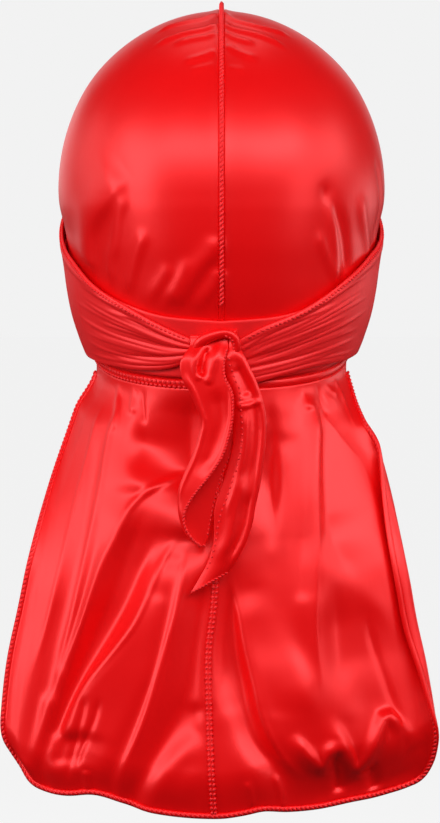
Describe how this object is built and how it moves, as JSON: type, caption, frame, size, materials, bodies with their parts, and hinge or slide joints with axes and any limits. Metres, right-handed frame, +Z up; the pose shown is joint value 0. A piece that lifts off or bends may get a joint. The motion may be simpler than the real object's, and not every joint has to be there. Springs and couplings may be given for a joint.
{
  "type": "durag",
  "caption": "Satin durag in its worn form: seamed hollow crown, straps wound round the head and tied at the nape, long flared tail",
  "frame": {"origin": "the inside of the crown's top, where the wearer's head carries it", "axes": "+Z up along the wearer's head, +Y the way the wearer faces, +X the wearer's right when seen from behind"},
  "size_m": [0.2113, 0.1939, 0.3932],
  "materials": {
    "satin": "glossy red satin weave",
    "overlock": "red overlock thread over satin"
  },
  "bodies": {
    "root": {"crown_left": "satin", "crown_right": "satin", "inner_wrap": "satin", "outer_wrap_left": "satin", "outer_wrap_right": "satin", "knot": "satin", "tie_end_left": "satin", "tie_end_right": "satin", "tail_left": "satin", "tail_right": "satin", "crown_seam": "overlock", "front_hem": "overlock", "nape_seam": "overlock", "tail_seam": "overlock", "tail_hem": "overlock"}
  },
  "joints": []
}
